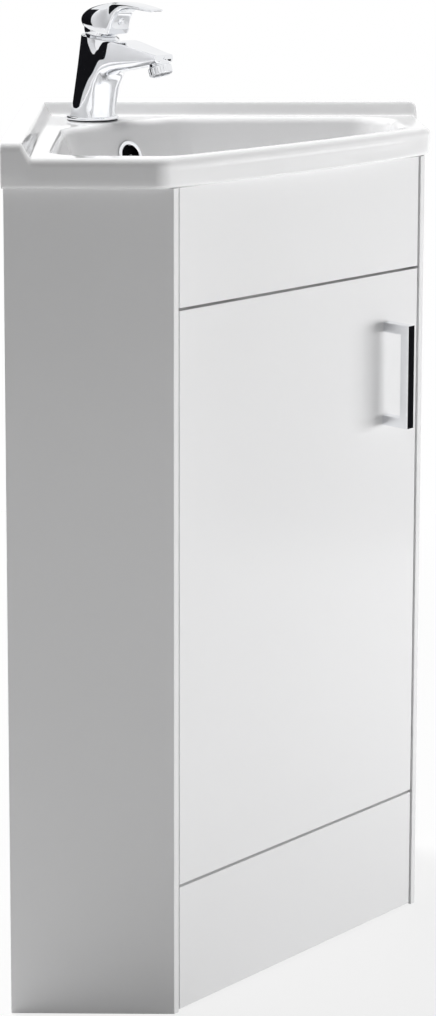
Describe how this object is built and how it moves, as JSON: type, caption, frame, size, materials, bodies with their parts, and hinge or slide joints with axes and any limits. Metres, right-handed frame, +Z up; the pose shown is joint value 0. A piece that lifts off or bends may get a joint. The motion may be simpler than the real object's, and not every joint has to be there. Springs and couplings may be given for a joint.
{
  "type": "corner vanity unit",
  "caption": "Corner vanity unit: ceramic corner basin with upstands, single-lever mixer tap and push-plug waste on a white board cabinet with one hinged door.",
  "frame": {"origin": "on the floor, under the middle of the unit's bounding box", "axes": "+Z up; the two walls are at -X and +Y, and the door faces the room between +X and -Y"},
  "size_m": [0.4263, 0.4263, 0.9525],
  "materials": {
    "white_board": "smooth white foil on chipboard, satin",
    "rail_board": "plain white melamine on chipboard",
    "beech": "fluted beech",
    "zinc_steel": "bright zinc plate",
    "zinc_cast": "die-cast zinc alloy",
    "black_plastic": "moulded, fine grain",
    "clear_buffer": "soft clear",
    "glazed_white": "glossy white glaze",
    "chrome_trim": "polished chrome",
    "brass_plain": "machined",
    "seal_rubber": "moulded",
    "white_plastic": "moulded",
    "grey_plastic": "moulded"
  },
  "bodies": {
    "cabinet": {"side_panel_left": "white_board", "side_panel_right": "white_board", "base_panel": "white_board", "plinth": "white_board", "fascia": "white_board", "front_stretcher": "white_board", "back_rail_left": "rail_board", "back_rail_right": "rail_board", "cam_bolts": "zinc_steel", "cam_locks": "zinc_cast", "wood_dowels": "beech", "rail_screws": "zinc_steel", "fascia_brackets": "zinc_steel", "plinth_brackets": "zinc_steel", "bracket_screws": "zinc_steel", "leg_socket": "black_plastic", "leg_foot": "black_plastic", "leg_screws": "zinc_steel", "hinge_arms": "zinc_steel", "hinge_plates": "zinc_steel", "hinge_arm_screws": "zinc_steel", "hinge_plate_screws": "zinc_steel", "basin": "glazed_white", "overflow_ring": "chrome_trim", "waste_body": "chrome_trim", "waste_flange_seal": "seal_rubber", "waste_washer": "seal_rubber", "waste_backnut": "brass_plain", "plug_socket": "brass_plain", "plug_spring": "zinc_steel", "tap_body": "chrome_trim", "tap_base_ring": "chrome_trim", "tap_base_seal": "seal_rubber", "tap_stud": "brass_plain", "stud_rubber": "seal_rubber", "stud_washer": "zinc_steel", "stud_nut": "brass_plain", "cartridge": "white_plastic", "cartridge_nut": "brass_plain", "neck_cover": "chrome_trim", "aerator_housing": "chrome_trim", "aerator_insert": "grey_plastic"},
    "door": {"door_panel": "white_board", "door_buffers": "clear_buffer", "handle": "chrome_trim", "handle_screws": "zinc_steel", "hinge_cups": "zinc_steel", "hinge_pins": "zinc_steel", "hinge_cup_screws": "zinc_steel"},
    "lever_carrier": {"stem_carrier": "white_plastic", "carrier_pin": "zinc_steel"},
    "lever": {"lever_stem": "brass_plain", "lever": "chrome_trim", "lever_grub_screw": "zinc_steel", "indicator_plug": "chrome_trim"},
    "plug": {"plug_stem": "chrome_trim", "plug_cap": "chrome_trim", "plug_seal": "seal_rubber"}
  },
  "joints": [
    {"name": "door_hinge", "type": "hinge", "parent": "cabinet", "child": "door", "pos_m": [-0.0432, -0.17756, 0.40625], "axis": [0, 0, -1], "range_deg": [0, 90]},
    {"name": "lever_swivel", "type": "hinge", "parent": "cabinet", "child": "lever_carrier", "pos_m": [-0.13185, 0.13185, 0.916], "axis": [0.1228, -0.1228, 0.9848], "range_deg": [-45, 45]},
    {"name": "lever_lift", "type": "hinge", "parent": "lever_carrier", "child": "lever", "pos_m": [-0.13062, 0.13062, 0.92585], "axis": [-0.7071, -0.7071, 0], "range_deg": [0, 22]},
    {"name": "plug_slide", "type": "slide", "parent": "cabinet", "child": "plug", "axis": [0, 0, 1], "range_m": [0, 0.007], "deforming": ["plug_spring"]}
  ]
}
